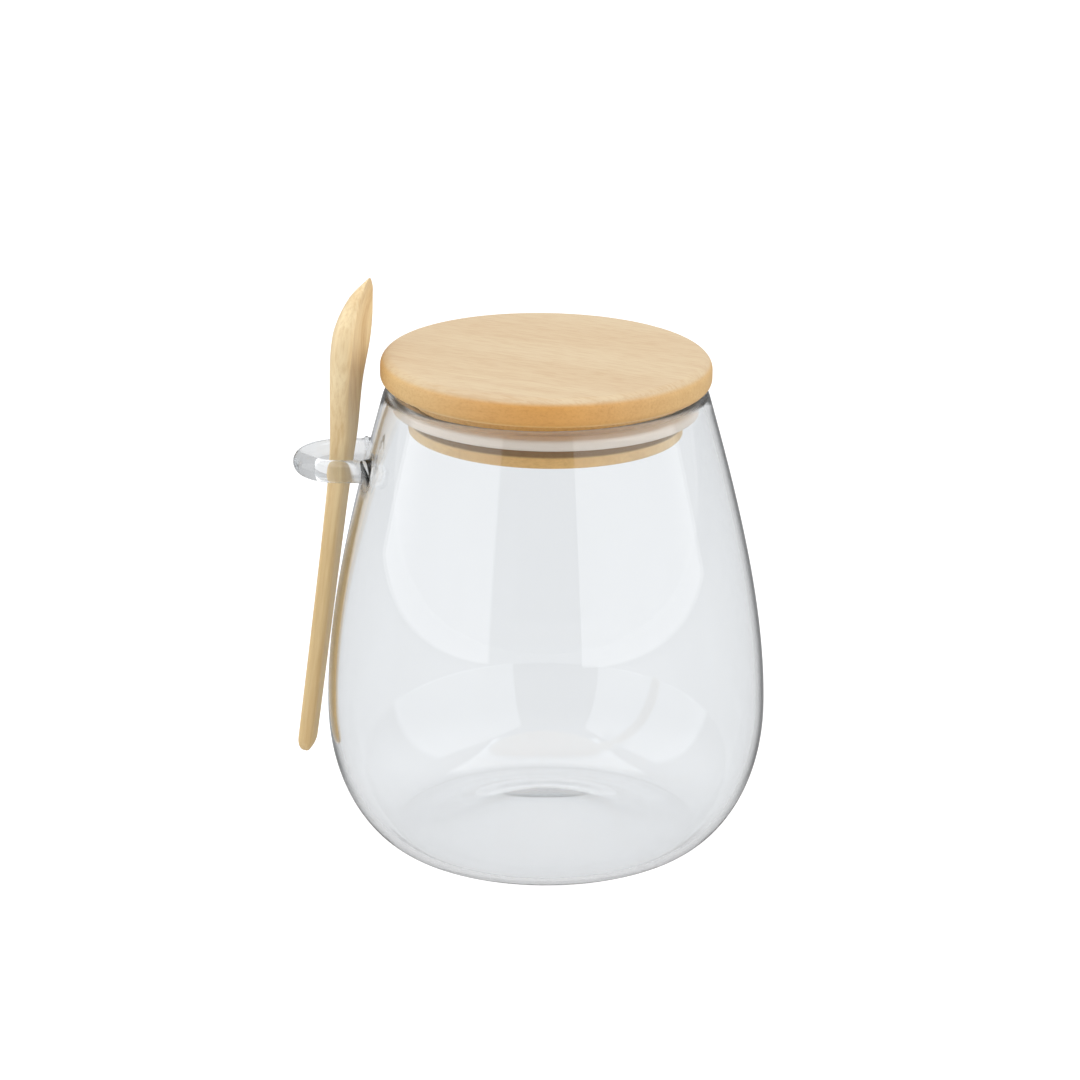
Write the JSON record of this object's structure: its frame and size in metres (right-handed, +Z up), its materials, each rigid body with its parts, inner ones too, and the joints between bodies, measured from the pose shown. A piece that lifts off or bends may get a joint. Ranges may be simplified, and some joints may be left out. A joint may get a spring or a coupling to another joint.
{
  "type": "glass storage jar",
  "caption": "Clear round-bellied glass storage jar with a bamboo lid, a silicone sealing ring, and a bamboo spoon hanging in a glass side loop.",
  "frame": {"origin": "on the standing surface, at the middle of the whole outline's box; the jar's own axis is 3.9 mm towards +X from it, because the loop and the spoon stand out on the -X side", "axes": "+Z up along the jar's axis; -X towards the loop and the spoon; -Y towards the viewer of the picture"},
  "size_m": [0.118, 0.1102, 0.1446],
  "materials": {
    "clear_glass": "clear polished borosilicate glass",
    "lid_bamboo": "smooth sanded bamboo board, fine straight grain",
    "seal_silicone": "milky translucent silicone, satin",
    "spoon_bamboo": "smooth carved bamboo, grain along the handle"
  },
  "bodies": {
    "root": {"jar_glass": "clear_glass", "lid": "lid_bamboo", "seal": "seal_silicone", "spoon": "spoon_bamboo"}
  },
  "joints": []
}
